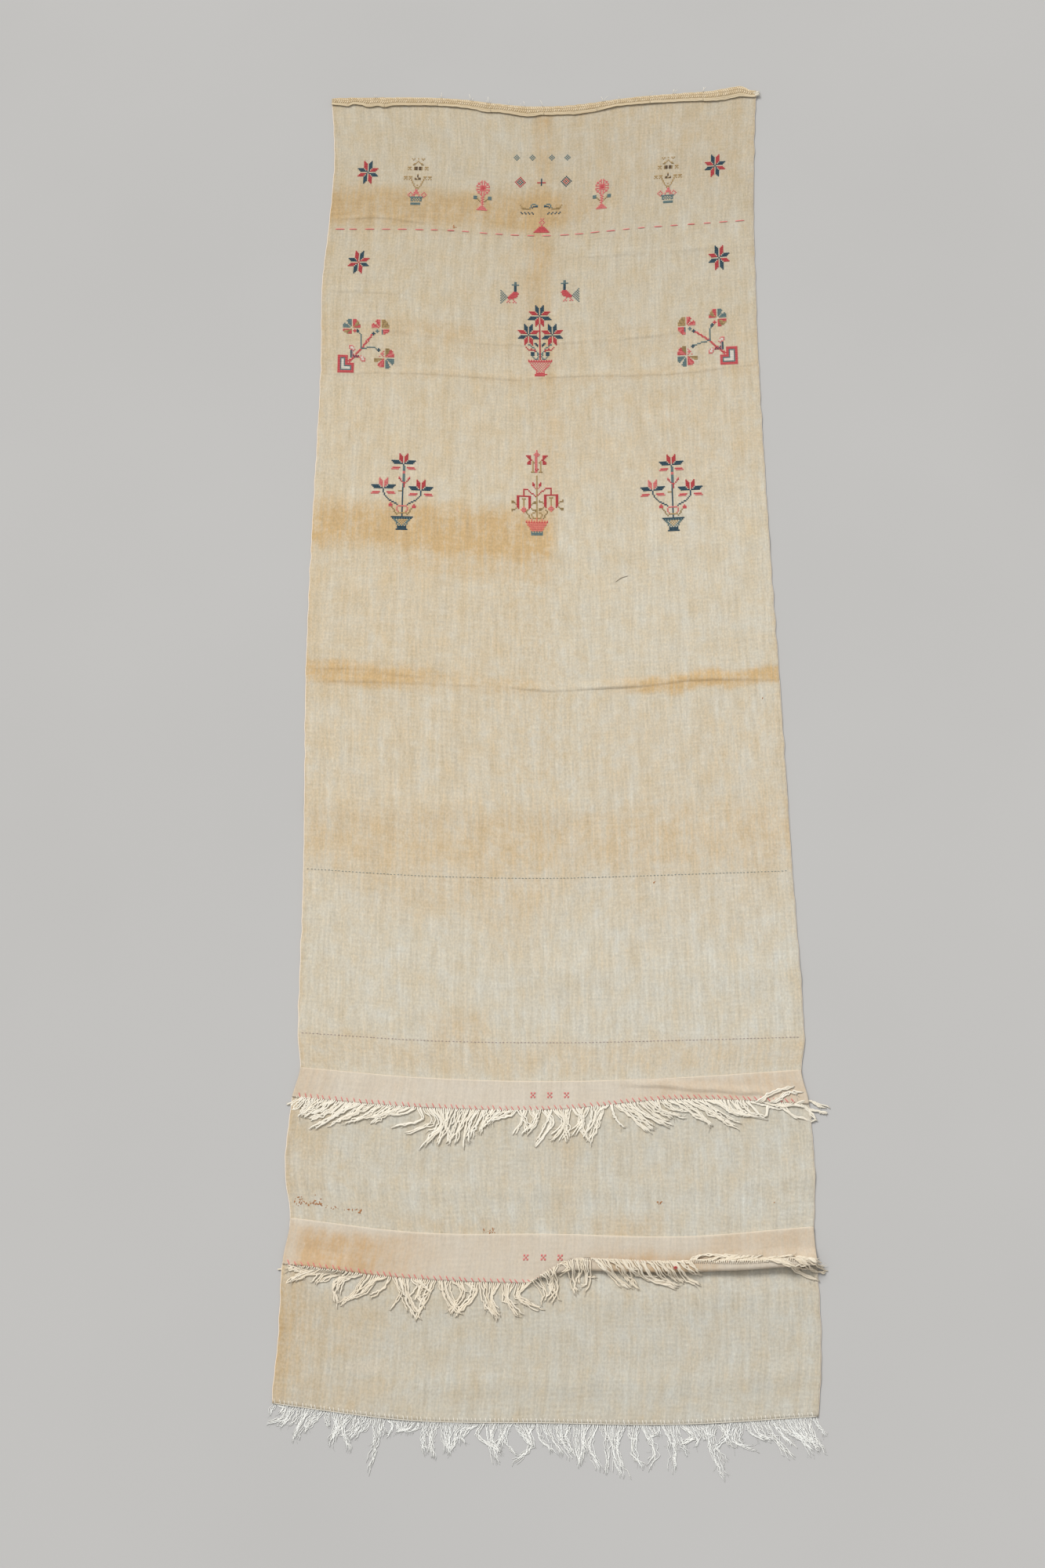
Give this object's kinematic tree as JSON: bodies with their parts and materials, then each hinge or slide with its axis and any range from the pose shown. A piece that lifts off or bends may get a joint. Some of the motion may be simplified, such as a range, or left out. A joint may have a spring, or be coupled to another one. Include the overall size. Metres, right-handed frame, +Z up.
{
  "type": "cross-stitch show towel",
  "caption": "Long narrow linen show towel with fringed flaps, a taped heading and a fringed foot, lying face up for display or hanging.",
  "frame": {"origin": "on the surface that the towel lies on, under the middle of its outline", "axes": "+Y from the foot towards the head, +X towards the right edge seen from above, +Z up out of the embroidered face"},
  "size_m": [0.4675, 1.3517, 0.0122],
  "materials": {
    "linen": "matte hand-woven linen",
    "flap_linen": "matte hand-woven linen",
    "tape": "matte woven tape",
    "fringe_yarn": "soft spun yarn",
    "thread_red": "silky embroidery thread",
    "thread_blue": "silky embroidery thread",
    "thread_light": "silky embroidery thread"
  },
  "bodies": {
    "root": {"panel_upper": "linen", "panel_middle": "linen", "panel_lower": "linen", "heading_tape": "tape", "flap_upper": "flap_linen", "flap_lower": "flap_linen", "fringe_upper": "fringe_yarn", "fringe_lower": "fringe_yarn", "fringe_foot": "fringe_yarn"}
  },
  "joints": []
}
